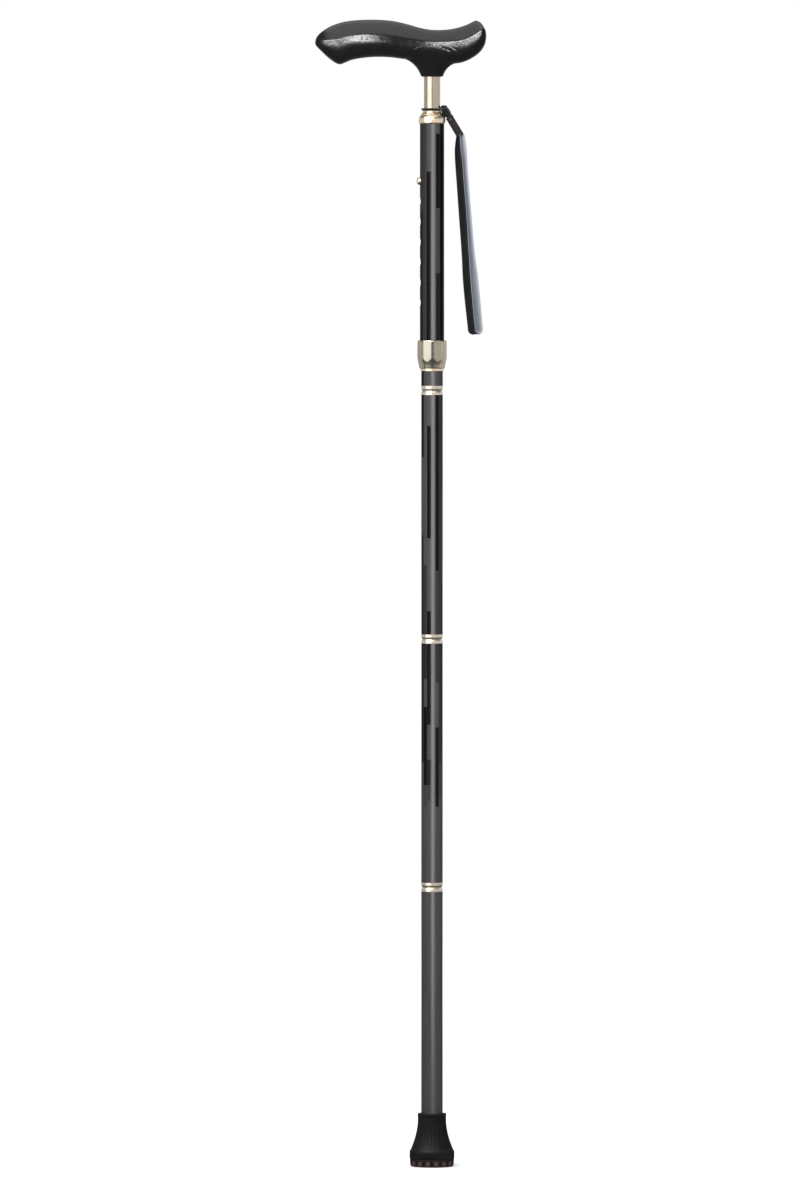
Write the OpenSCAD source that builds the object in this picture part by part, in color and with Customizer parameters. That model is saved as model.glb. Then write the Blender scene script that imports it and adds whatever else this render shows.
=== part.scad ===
// Folding, height-adjustable walking cane with an anatomical T handle and a wrist strap.
// The origin is the centre of the tip's ground face, +Z runs up the shaft and
// the long arm of the handle points along -X. All lengths are millimetres.

/* [Shaft] */
// Outer diameter of the three folding tubes and the sliding tube
tube_d = 16; // [15:0.5:17]
// Wall of the folding tubes
tube_wall = 1; // [0.8:0.1:1]
// Height of the lowest folding joint above the ground
first_seam_h = 207; // [190:1:220]
// Distance from one folding joint to the next
seam_pitch = 184; // [170:1:200]
// Length of the male spigot inside each folding joint
spigot_len = 30; // [24:1:32]
// Length of the upper tube
upper_len = 174.3; // [165:0.1:190]
// Wall of the upper tube
upper_wall = 0.9; // [0.8:0.1:1]

/* [Height adjustment] */
// Number of detent holes in the upper tube
hole_count = 7; // [3:1:7]
// Distance from one detent hole to the next
hole_pitch = 15; // [12:1:15]
// Height of the snap button in the shortest setting, above the highest folding joint
button_rise = 155; // [150:1:158]
// Diameter of the snap button
button_d = 5.6; // [5:0.1:6]

/* [Handle] */
// Outer diameter of the metal neck between the ferrule and the handle
neck_d = 12; // [11:0.5:12]
// Length of bare neck and strap loop between the ferrule and the handle
neck_len = 25.1; // [22:0.1:30]
// Width of the handle at its widest, across the palm
grip_width = 29; // [26:0.5:32]
// Thickness of the leather-look cover
cover_t = 1.2; // [1:0.1:1.4]

/* [Strap] */
// Width of the strap band
band_width = 10; // [8:0.5:12]
// Thickness of the strap band
band_t = 1; // [0.8:0.1:1.2]
// Hanging length of the strap band below its sleeve
band_drop = 147; // [120:1:150]

/* [Tip] */
// Diameter of the rubber tip at the ground
tip_base_d = 33.2; // [30:0.1:36]
// Diameter of the rubber tip at its mouth
tip_mouth_d = 21; // [20.5:0.1:24]
// Height of the rubber tip's mouth above the ground
tip_h = 39.2; // [36:0.1:44]
// Number of teeth around the edge of the tread
tread_teeth = 16; // [12:1:28]

/* [Hidden] */
$fn = 64;

gold = "#c9bca8";
rose_gold = "#e0c9a6";
bar_black = "#2b2a2c";
plain_grey = "#4b4a4c";
leather_black = "#26272a";
rubber_black = "#1e2020";
tread_brown = "#4a3432";
steel = "#b9bcc0";
nylon = "#3c3d40";

// Heights up the shaft.
seam_1_h = first_seam_h + 2 * seam_pitch;
socket_collar_h = 3.6;
spigot_collar_h = 3;
tread_h = 5.6;
washer_t = 1.2;
tip_floor_h = 8.8;
tube_4_bottom = tip_floor_h + washer_t;
button_h = seam_1_h + button_rise;
inner_top = button_h + 12;
upper_bottom = seam_1_h + 23;
upper_top = upper_bottom + upper_len;
ferrule_h = 9.6;
neck_ring_h = upper_top + ferrule_h;
grip_bottom = neck_ring_h + neck_len;

// Radii that the fits share.
tube_r = tube_d / 2;
tube_bore_r = tube_r - tube_wall;
upper_bore_r = tube_r + 0.1;
upper_r = upper_bore_r + upper_wall;
neck_r = neck_d / 2;
slip = 0.05;
plug_r = tube_bore_r - slip;
spigot_r = 6;
socket_bore_r = spigot_r + 0.08;
cord_r = 2;
cord_bore_r = 4.5;
groove_depth = 0.8;

// A straight tube from one height to another.
module pipe(outer_r, inner_r, z0, z1) {
    difference() {
        translate([0, 0, z0]) cylinder(r = outer_r, h = z1 - z0);
        translate([0, 0, z0 - 1]) cylinder(r = inner_r, h = z1 - z0 + 2);
    }
}

// ---------------------------------------------------------------- handle
// Side outline of the handle, as [x, height above the bottom of its collar].
grip_top_line = [[-86.5, 25], [-82.5, 32.5], [-71, 39], [-50, 42.2], [-28, 41.2], [-9, 36],
    [4, 34.6], [18, 36.1], [31.5, 41], [37.5, 38.2], [40.4, 29.2]];
grip_bottom_line = [[-86.5, 24], [-80, 17.5], [-68, 9], [-60, 12.3], [-42, 14.6], [-22, 13.5],
    [-4, 11], [12, 9.6], [24, 11.3], [33, 16], [38.3, 22], [40.4, 27.2]];
// Half width of the handle along its length, as a share of the widest place.
grip_plan_line = [[-86.5, 0.4], [-80, 0.7], [-66, 0.93], [-46, 1], [-22, 0.87], [0, 0.8],
    [16, 0.8], [30, 0.76], [37, 0.6], [40.4, 0.35]];
grip_stations = 24;
grip_ring = 20;
belly_share = 0.58;

// Value at x of a smooth curve through a line's points, with its slopes taken from its neighbours.
function slope(line, i) =
    let (a = line[max(i - 1, 0)], b = line[min(i + 1, len(line) - 1)])
    (b[1] - a[1]) / (b[0] - a[0]);
function span_of(line, x, i = 0) =
    (i >= len(line) - 2 || x < line[i + 1][0]) ? i : span_of(line, x, i + 1);
function along(line, x) =
    let (
        i = span_of(line, x),
        w = line[i + 1][0] - line[i][0],
        t = (x - line[i][0]) / w
    )
    (1 + 2 * t) * pow(1 - t, 2) * line[i][1] + t * pow(1 - t, 2) * w * slope(line, i)
    + pow(t, 2) * (3 - 2 * t) * line[i + 1][1] + pow(t, 2) * (t - 1) * w * slope(line, i + 1);

// One ring of the handle at x, pulled inwards by inset.
function grip_section(x, inset) =
    let (
        top = along(grip_top_line, x) - inset,
        low = along(grip_bottom_line, x) + inset,
        half = along(grip_plan_line, x) * grip_width / 2 - inset,
        belly = low + belly_share * (top - low)
    )
    [for (j = [0:grip_ring - 1])
        let (a = 360 * j / grip_ring, s = sin(a))
        [x, half * cos(a) * (s < 0 ? 1 - 0.25 * s * s : 1),
            grip_bottom + belly + s * (s < 0 ? belly - low : top - belly)]];

// The handle's body as one lofted solid. Its stations crowd towards both ends.
module grip_loft(inset) {
    x0 = grip_top_line[0][0] + inset;
    x1 = grip_top_line[len(grip_top_line) - 1][0] - inset;
    xs = [for (i = [0:grip_stations]) x0 + (x1 - x0) * (1 - cos(180 * i / grip_stations)) / 2];
    points = [for (x = xs) each grip_section(x, inset)];
    sides = [for (i = [0:grip_stations - 1], j = [0:grip_ring - 1])
        let (
            a = i * grip_ring + j,
            b = i * grip_ring + (j + 1) % grip_ring,
            c = a + grip_ring,
            d = b + grip_ring
        )
        each [[a, d, b], [a, c, d]]];
    ends = [
        [for (j = [0:grip_ring - 1]) j],
        [for (j = [grip_ring - 1:-1:0]) grip_stations * grip_ring + j]
    ];
    polyhedron(points = points, faces = concat(sides, ends));
}

// The collar that flares from the neck into the handle's body.
module grip_collar(inset) {
    translate([0, 0, grip_bottom])
        rotate_extrude()
            polygon([[0, 0], [8.2 - inset, 0], [8.8 - inset, 2.4], [9.9 - inset, 6],
                [11.6 - inset, 9.4], [11.9 - inset, 14], [6, 20], [0, 20]]);
}

core_gap = 0.2;
post_top = grip_bottom + 24;
post_bottom = upper_top - 22;
pin_h = grip_bottom + 15;

module grip_core() {
    color("#5a4636")
    difference() {
        union() {
            grip_loft(cover_t + core_gap);
            grip_collar(cover_t);
        }
        translate([0, 0, grip_bottom - 1]) cylinder(r = neck_r + slip, h = post_top - grip_bottom + 1);
        translate([-12, 0, pin_h]) rotate([0, 90, 0]) cylinder(d = 3.1, h = 24);
    }
}

module grip_cover() {
    color(leather_black)
    difference() {
        union() {
            grip_loft(0);
            grip_collar(0);
        }
        grip_loft(cover_t);
        translate([0, 0, -0.1]) grip_collar(cover_t - 0.1);
    }
}

module neck_post() {
    color(gold)
    difference() {
        pipe(neck_r, neck_r - 1.2, post_bottom, post_top - 0.2);
        translate([-12, 0, pin_h]) rotate([0, 90, 0]) cylinder(d = 3.1, h = 24);
    }
}

module neck_pin() {
    color(steel)
    translate([-9.8, 0, pin_h]) rotate([0, 90, 0]) cylinder(d = 3, h = 19.6);
}

// ---------------------------------------------------------------- upper shaft
module neck_bush() {
    color(nylon)
    pipe(upper_bore_r - slip, neck_r + slip, post_bottom + 0.5, upper_top - 0.1);
}

module top_ferrule() {
    color(rose_gold)
    translate([0, 0, upper_top])
        rotate_extrude()
            polygon([[neck_r + slip, 0], [9.3, 0], [9.7, 0.8], [9.9, 1.9], [9.85, 3.1], [9.5, 4.2],
                [8.8, 5.3], [8, 6.3], [7.7, 6.8], [7.9, 7.2], [7, 8.2], [6.8, ferrule_h],
                [neck_r + slip, ferrule_h]]);
}

module upper_tube() {
    color(bar_black)
    difference() {
        pipe(upper_r, upper_bore_r, upper_bottom, upper_top);
        for (i = [0:hole_count - 1])
            translate([-upper_r - 1, 0, button_h - i * hole_pitch])
                rotate([0, 90, 0])
                    cylinder(d = button_d + 0.5, h = upper_r);
    }
}

// The threads of the sleeve and nut are plain cylinders with the running gap between them.
sleeve_r = upper_r + 0.75;
nut_gap = 0.1;
nut_bottom = upper_bottom - 6.6;
nut_top = upper_bottom + 14.3;
nut_r = 10.85;

module threaded_sleeve() {
    color(gold)
    pipe(sleeve_r, upper_r + 0.01, upper_bottom + 1.5, nut_top - 0.4);
}

module nut_shape() {
    cone_top = upper_bottom - 0.2;
    translate([0, 0, nut_bottom])
        rotate_extrude()
            polygon([[8.7, 0], [9.15, 0], [9.45, 0.6], [10.1, 4.1], [nut_r, 7.4], [nut_r, 20.1],
                [10.3, nut_top - nut_bottom], [sleeve_r + nut_gap, nut_top - nut_bottom],
                [sleeve_r + nut_gap, cone_top + 0.3 - nut_bottom], [9.5, cone_top - nut_bottom],
                [8.85, 1.2], [8.7, 1]]);
}

nut_flats = 8;
nut_flat_depth = 0.35;
nut_flat_low = 4;
nut_flat_turn = 0.54; // share of one flat's turn at which the first flat faces

module lock_nut() {
    color(gold)
    difference() {
        nut_shape();
        for (i = [0:nut_flats - 1])
            rotate([0, 0, 360 / nut_flats * (i + nut_flat_turn)])
                translate([nut_r - nut_flat_depth, -5, nut_bottom + nut_flat_low])
                    cube([3, 10, nut_top - nut_bottom]);
    }
}

collet_bottom = nut_bottom - 1.9;
collet_top = upper_bottom - 0.5;

module lock_collet() {
    color(rose_gold)
    difference() {
        translate([0, 0, collet_bottom])
            rotate_extrude()
                polygon([[tube_r + 0.12, 0], [8.35, 0], [8.5, 0.2], [8.5, 4.9], [8.75, 5.1],
                    [9.3, collet_top - collet_bottom], [tube_r + 0.12, collet_top - collet_bottom]]);
        translate([5, -0.5, collet_bottom + 1.5]) cube([6, 1, 10]);
    }
}

// ---------------------------------------------------------------- sliding tube
module inner_tube() {
    color(bar_black)
    difference() {
        pipe(tube_r, tube_bore_r, seam_1_h + socket_collar_h, inner_top);
        translate([-tube_r - 1, 0, button_h]) rotate([0, 90, 0]) cylinder(d = button_d + 0.3, h = tube_r);
    }
}

module inner_bush() {
    color(nylon)
    union() {
        pipe(tube_r + 0.05, 5, inner_top, inner_top + 3);
        pipe(plug_r, 5, inner_top - 6, inner_top);
    }
}

button_reach = 11.5;
button_dome = 2;

module snap_button() {
    color(rose_gold)
    translate([0, 0, button_h])
        rotate([0, -90, 0])
            rotate_extrude()
                polygon(concat(
                    [[0, 5.2], [3.4, 5.2], [3.4, 6], [button_d / 2, 6]],
                    [for (a = [0:15:90])
                        [button_d / 2 * cos(a), button_reach - button_dome + button_dome * sin(a)]]
                ));
}

// A strip bent into a U: the button is riveted to one leg and the other bears on the tube.
leaf_t = 0.5;
leaf_width = 6;
leaf_x = [-5.15, 5.8];
leaf_foot = button_h - 16;

module button_spring() {
    bend_r = (leaf_x[1] - leaf_x[0]) / 2;
    mid_x = (leaf_x[1] + leaf_x[0]) / 2;
    color(steel)
    translate([mid_x, leaf_width / 2, leaf_foot])
        rotate([90, 0, 0])
            linear_extrude(leaf_width) {
                difference() {
                    circle(r = bend_r);
                    circle(r = bend_r - leaf_t);
                    translate([-bend_r, 0]) square([2 * bend_r, bend_r]);
                }
                translate([-bend_r, 0]) square([leaf_t, 20]);
                translate([bend_r - leaf_t, 0]) square([leaf_t, 20]);
            }
}

// ---------------------------------------------------------------- elastic cord
anchor_top_h = button_h - 40;
anchor_bottom_h = tube_4_bottom + 3;
anchor_len = 13;
knot_r = 3.8;
knot_seat = 5;

// A plug with a hole for the cord and a pocket for its knot at the end that faces up or down.
module cord_plug(z0, pocket_up) {
    pocket_z = pocket_up ? z0 + anchor_len - knot_seat : z0 - 1;
    color(nylon)
    difference() {
        pipe(plug_r, cord_r + 0.2, z0, z0 + anchor_len);
        translate([0, 0, pocket_z]) cylinder(r = knot_r + 0.4, h = knot_seat + 1);
    }
}

module cord_anchor_top() { cord_plug(anchor_top_h, true); }

module cord_anchor_bottom() { cord_plug(anchor_bottom_h, false); }

module elastic_cord() {
    low = anchor_bottom_h + knot_seat;
    high = anchor_top_h + anchor_len - knot_seat;
    color(leather_black)
    union() {
        translate([0, 0, low - 3]) cylinder(r = cord_r, h = high - low + 6);
        translate([0, 0, low - 4.8]) cylinder(r = knot_r, h = 4.7);
        translate([0, 0, high + 0.1]) cylinder(r = knot_r, h = 4.7);
    }
}

// ---------------------------------------------------------------- folding joints
// Height of joint k above the ground, where joint 1 is the highest.
function seam_h(k) = first_seam_h + (3 - k) * seam_pitch;

// Female half: a collar and the sleeve fixed inside the tube above the joint.
module socket(k) {
    color(gold)
    translate([0, 0, seam_h(k)])
        rotate_extrude()
            polygon([[socket_bore_r, 0], [tube_r - groove_depth, 0], [tube_r - 0.1, 1.2],
                [tube_r, 1.7], [tube_r, socket_collar_h], [plug_r, socket_collar_h],
                [plug_r, spigot_len + 6], [socket_bore_r, spigot_len + 6]]);
}

// Male half: a collar, the shank fixed inside the tube below, and the spigot that slips up.
module spigot(k) {
    shank = 22;
    color(rose_gold)
    translate([0, 0, seam_h(k - 1)])
        rotate_extrude()
            polygon([[cord_bore_r, spigot_len], [spigot_r - 0.8, spigot_len],
                [spigot_r, spigot_len - 2], [spigot_r, 0], [tube_r - groove_depth, 0],
                [tube_r - 0.1, -1.2], [tube_r, -1.6], [tube_r, -spigot_collar_h],
                [plug_r, -spigot_collar_h], [plug_r, -spigot_collar_h - shank],
                [cord_bore_r, -spigot_collar_h - shank]]);
}

module folding_tube(k) {
    low = k == 4 ? tube_4_bottom : seam_h(k) + socket_collar_h;
    color(k == 4 ? plain_grey : bar_black)
    pipe(tube_r, tube_bore_r, low, seam_h(k - 1) - spigot_collar_h);
}

// ---------------------------------------------------------------- tip
module tip_washer() {
    color(steel)
    translate([0, 0, tip_floor_h]) cylinder(r = tube_r - 0.3, h = washer_t);
}

tip_base_r = tip_base_d / 2;
tip_mouth_r = tip_mouth_d / 2;
skirt_top = 11.4;

module rubber_tip() {
    flare = [for (i = [0:8])
        let (t = i / 8)
        [tip_mouth_r + (tip_base_r - 0.9 - tip_mouth_r) * pow(1 - t, 1.9),
            skirt_top + 1.3 + (tip_h - 3 - skirt_top) * t]];
    color(rubber_black)
    difference() {
        rotate_extrude()
            polygon(concat([[0, tread_h], [tip_base_r, tread_h], [tip_base_r, skirt_top]],
                flare, [[tip_mouth_r, tip_h], [0, tip_h]]));
        translate([0, 0, tip_floor_h]) cylinder(r = tube_r + 0.02, h = tip_h);
    }
}

// The tread: a disc with a toothed edge and two round grooves in its ground face.
tread_notch_w = 2.4;
tread_notch_depth = 1;
tread_notch_h = 4.2;
tread_groove_depth = 1.2;

module tip_tread() {
    rim_r = tip_base_r - 0.2;
    color(tread_brown)
    difference() {
        rotate_extrude()
            polygon([[0, 0], [rim_r - 1.2, 0], [rim_r, 1.2], [rim_r, tread_h], [0, tread_h]]);
        for (r = [7, 11.4])
            translate([0, 0, -1]) pipe(r + 0.8, r - 0.8, 0, 1 + tread_groove_depth);
        for (i = [0:tread_teeth - 1])
            rotate([0, 0, 360 / tread_teeth * i])
                translate([rim_r - tread_notch_depth, -tread_notch_w / 2, -1])
                    cube([3, tread_notch_w, 1 + tread_notch_h]);
    }
}

// ---------------------------------------------------------------- wrist strap
loop_cord_r = 0.95;
loop_r = neck_r + 0.15 + loop_cord_r;
loop_h = neck_ring_h + 0.1 + loop_cord_r;
knot_pos = [10.7, 0, neck_ring_h - 1.3];
knot_ball_r = 3.1;
sleeve_lean = 31;
sleeve_start = knot_ball_r + 0.3;
sleeve_len = 16.4;
sleeve_size = [5.8, 4.4];
band_lean = 4;
band_turn = -58;
sleeve_end = knot_pos + (sleeve_start + sleeve_len) * [sin(sleeve_lean), 0, -cos(sleeve_lean)];

module strap_loop() {
    color(leather_black)
    difference() {
        translate([0, 0, loop_h])
            rotate_extrude()
                translate([loop_r, 0]) circle(r = loop_cord_r, $fn = 24);
        translate(knot_pos) sphere(r = knot_ball_r + 0.02);
    }
}

module strap_knot() {
    color(leather_black)
    translate(knot_pos) sphere(r = knot_ball_r);
}

// The sleeve's own frame: Z runs back up the sleeve to the knot.
module at_sleeve() {
    translate(knot_pos) rotate([0, -sleeve_lean, 0]) children();
}

module strap_sleeve() {
    round_r = 1.2;
    rivet_z = -sleeve_start - 3;
    color("#3a2e2a")
    at_sleeve()
        difference() {
            translate([0, 0, -sleeve_start - sleeve_len])
                linear_extrude(sleeve_len)
                    offset(r = round_r)
                        square([sleeve_size[0] - 2 * round_r, sleeve_size[1] - 2 * round_r], center = true);
            translate([0, -5, rivet_z]) rotate([-90, 0, 0]) cylinder(d = 1.64, h = 10, $fn = 24);
        }
}

module strap_rivet() {
    color(steel)
    at_sleeve()
        translate([0, 0, -sleeve_start - 3])
            rotate([90, 0, 0]) {
                translate([0, 0, -2.3]) cylinder(d = 1.6, h = 4.6, $fn = 24);
                translate([0, 0, sleeve_size[1] / 2 + 0.02]) cylinder(d = 2.6, h = 0.5, $fn = 24);
                translate([0, 0, -sleeve_size[1] / 2 - 0.52]) cylinder(d = 2.6, h = 0.5, $fn = 24);
            }
}

// Distance between the two strands, measured between their middles, at s below the sleeve.
band_gap_line = [[-6, 1.1], [0, 1.15], [22, 4.4], [70, 4.9], [108, 6], [130, 5.6], [147, 5]];
function band_gap(s) = along(band_gap_line, s * 147 / band_drop);
band_steps = 24;
fold_r = band_gap(band_drop) / 2;

// Outline of the loop, stood off by a distance to the outside.
function band_outline(off) =
    let (end_s = band_drop - fold_r)
    concat(
        [for (i = [0:band_steps])
            let (s = -6 + (end_s + 6) * i / band_steps)
            [-band_gap(s) / 2 - off, -s]],
        [for (a = [195:15:345]) [(fold_r + off) * cos(a), -end_s + (fold_r + off) * sin(a)]],
        [for (i = [band_steps:-1:0])
            let (s = -6 + (end_s + 6) * i / band_steps)
            [band_gap(s) / 2 + off, -s]]
    );

// The band gathers to the sleeve's width where it enters it.
module band_width_mask() {
    half = band_width / 2;
    rotate([90, 0, 0])
        linear_extrude(20, center = true)
            polygon([[-2.8, 7], [-2.8, 0], [-half, -24], [-half, -band_drop - 2],
                [half, -band_drop - 2], [half, -24], [2.8, 0], [2.8, 7]]);
}

module strap_band() {
    color("#2a2e33")
    difference() {
        translate(sleeve_end)
            rotate([0, -band_lean, 0])
                rotate([0, 0, band_turn])
                    intersection() {
                        band_width_mask();
                        rotate([90, 0, 90])
                            linear_extrude(band_width + 1, center = true)
                                difference() {
                                    polygon(band_outline(band_t / 2));
                                    polygon(band_outline(-band_t / 2));
                                }
                    }
        at_sleeve() translate([-15, -15, -sleeve_start - sleeve_len - 0.05]) cube([30, 30, 25]);
    }
}

// ---------------------------------------------------------------- assembly
grip_core();
grip_cover();
neck_post();
neck_pin();
neck_bush();
top_ferrule();
upper_tube();
threaded_sleeve();
lock_nut();
lock_collet();
inner_tube();
inner_bush();
snap_button();
button_spring();
cord_anchor_top();
elastic_cord();
socket(1);  // socket_1
spigot(2);  // spigot_2
folding_tube(2);  // tube_2
socket(2);  // socket_2
spigot(3);  // spigot_3
folding_tube(3);  // tube_3
socket(3);  // socket_3
spigot(4);  // spigot_4
folding_tube(4);  // tube_4
cord_anchor_bottom();
tip_washer();
rubber_tip();
tip_tread();
strap_loop();
strap_knot();
strap_sleeve();
strap_rivet();
strap_band();
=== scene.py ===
import math
import random

import bmesh
import bpy
import numpy as np
from mathutils import Matrix, Vector, noise


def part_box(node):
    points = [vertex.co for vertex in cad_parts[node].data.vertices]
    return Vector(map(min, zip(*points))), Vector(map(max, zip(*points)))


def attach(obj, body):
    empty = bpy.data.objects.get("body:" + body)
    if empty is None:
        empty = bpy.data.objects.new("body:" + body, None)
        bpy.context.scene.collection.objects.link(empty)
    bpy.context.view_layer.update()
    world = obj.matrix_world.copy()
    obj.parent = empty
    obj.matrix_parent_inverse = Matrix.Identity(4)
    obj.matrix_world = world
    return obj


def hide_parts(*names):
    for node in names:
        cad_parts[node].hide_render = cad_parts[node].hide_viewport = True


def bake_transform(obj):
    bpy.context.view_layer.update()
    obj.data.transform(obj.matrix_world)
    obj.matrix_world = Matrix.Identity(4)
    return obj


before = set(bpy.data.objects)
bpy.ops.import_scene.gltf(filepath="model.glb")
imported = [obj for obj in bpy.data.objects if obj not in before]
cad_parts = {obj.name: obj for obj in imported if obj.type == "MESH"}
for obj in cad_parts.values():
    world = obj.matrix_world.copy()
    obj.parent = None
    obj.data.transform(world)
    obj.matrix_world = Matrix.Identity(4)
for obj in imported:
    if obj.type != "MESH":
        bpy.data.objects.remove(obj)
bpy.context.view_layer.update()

MM = 0.001


# ---- camera, stage and light
CAMERA_DISTANCE = 8.5  # a long lens: the photo shows next to no perspective
CAMERA_HEIGHT = 0.72
CAMERA_SIDE = -0.0237
PICTURE_HEIGHT = 0.888  # metres seen from top to bottom of the picture, at the shaft
PICTURE_MIDDLE = 0.42  # height of the picture's middle
SENSOR_MM = 36


def make_camera():
    data = bpy.data.cameras.new("camera")
    data.sensor_width = SENSOR_MM
    data.lens = SENSOR_MM * CAMERA_DISTANCE / PICTURE_HEIGHT
    camera = bpy.data.objects.new("camera", data)
    camera.location = (CAMERA_SIDE, -CAMERA_DISTANCE, CAMERA_HEIGHT)
    tilt = math.atan2(CAMERA_HEIGHT - PICTURE_MIDDLE, CAMERA_DISTANCE)
    camera.rotation_euler = (math.radians(90) - tilt, 0, 0)
    bpy.context.scene.collection.objects.link(camera)
    bpy.context.scene.camera = camera


def area_light(name, azimuth, elevation, distance, width, height, radiance, colour=(1, 1, 1),
               aim=0.45, only=()):
    """A soft box that faces the shaft at height aim. Azimuth 0 is the camera's side and 90 its right."""
    data = bpy.data.lights.new(name, "AREA")
    data.shape = "RECTANGLE"
    data.size, data.size_y = width, height
    data.energy = radiance * math.pi * width * height
    data.color = colour
    light = bpy.data.objects.new(name, data)
    turn, rise = math.radians(azimuth), math.radians(elevation)
    away = Vector((math.sin(turn) * math.cos(rise), -math.cos(turn) * math.cos(rise), math.sin(rise)))
    light.location = Vector((0, 0, aim)) + away * distance
    light.rotation_euler = away.to_track_quat("Z", "Y").to_euler()
    light.visible_camera = False
    bpy.context.scene.collection.objects.link(light)
    if only:
        reached = bpy.data.collections.new(name + "_reach")
        for piece in only:
            reached.objects.link(piece)
        light.light_linking.receiver_collection = reached


def make_lights(metals, nut, tubes):
    """Soft boxes over the object, and others that only its metal or its tubes mirror."""
    area_light("top_front_box", -31, 35, 1.5, 1.75, 0.15, 36.0, (0.97, 0.985, 1.0), 0.8)
    area_light("top_box", 180, 86, 1.4, 2.0, 2.2, 1.25, aim=0.8)
    area_light("back_box", 180, 12, 2.4, 2.4, 1.6, 0.6)
    area_light("metal_key_box", -37, 7, 1.5, 1.75, 1.4, 2.3, (0.985, 0.995, 1.0), only=metals)
    area_light("metal_right_box", 38, 7, 1.4, 2.0, 1.4, 0.78, (1.0, 0.98, 0.96), only=metals)
    area_light("nut_key_box", -37, 10, 1.6, 1.8, 1.2, 1.75, (0.94, 0.99, 1.0), only=[nut])
    area_light("nut_right_box", 48, 10, 1.4, 1.9, 1.2, 0.68, (1.0, 0.96, 0.94), only=[nut])
    area_light("metal_side_box", 112, 7, 1.4, 2.2, 1.3, 0.7, (1.0, 0.98, 0.96), only=metals + [nut])
    area_light("metal_left_box", -112, 7, 1.5, 2.3, 1.3, 0.54, only=metals + [nut])
    area_light("tube_strip_box", 8, 0, 0.45, 0.24, 0.9, 5.8, aim=0.5, only=tubes)


AMBIENT = 0.5  # strength of the surroundings where they light the object
MIRRORED = 0.12  # their strength where the object mirrors them


def make_world():
    """White behind the object, and a softer grey for what lights it and what it mirrors."""
    world = bpy.data.worlds.new("studio")
    bpy.context.scene.world = world
    world.use_nodes = True
    tree = world.node_tree
    tree.nodes.clear()
    out = tree.nodes.new("ShaderNodeOutputWorld")
    background = tree.nodes.new("ShaderNodeBackground")
    path = tree.nodes.new("ShaderNodeLightPath")
    strength = None
    for ray, change in (("Is Camera Ray", 1 - AMBIENT), ("Is Glossy Ray", MIRRORED - AMBIENT)):
        step = tree.nodes.new("ShaderNodeMath")
        step.operation = "MULTIPLY_ADD"
        step.inputs[1].default_value = change
        step.inputs[2].default_value = AMBIENT
        tree.links.new(path.outputs[ray], step.inputs[0])
        if strength:
            tree.links.new(strength, step.inputs[2])
        strength = step.outputs[0]
    tree.links.new(strength, background.inputs["Strength"])
    background.inputs["Color"].default_value = (1, 1, 1, 1)
    tree.links.new(background.outputs[0], out.inputs[0])


FLOOR_RADIUS = 14
FLOOR_DROP = 0.0002  # keeps the floor clear of the tread


def make_floor():
    """A pale floor that brightens to the backdrop's white away from the object."""
    bpy.ops.mesh.primitive_circle_add(vertices=96, radius=FLOOR_RADIUS, fill_type="NGON",
                                      location=(0, 0, -FLOOR_DROP))
    floor = bpy.context.object
    floor.name = "floor"
    paint = Paint("pale_floor", {"Roughness": 0.9, "Specular IOR Level": 0.1, "Emission Color": (1, 1, 1, 1)})
    tone = paint.mix(paint.noise(3.0, 2), (0.9, 0.9, 0.9, 1), (0.93, 0.93, 0.925, 1))
    reach = paint.node("VectorMath", {0: paint.coords}, operation="LENGTH").outputs["Value"]
    glow = paint.fit(reach, 0.1, 2.2, 0.12, 0.75, True)
    paint.feed(paint.shader, {"Base Color": tone, "Emission Strength": glow})
    floor.data.materials.append(paint.material)
    floor.visible_glossy = False


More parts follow.
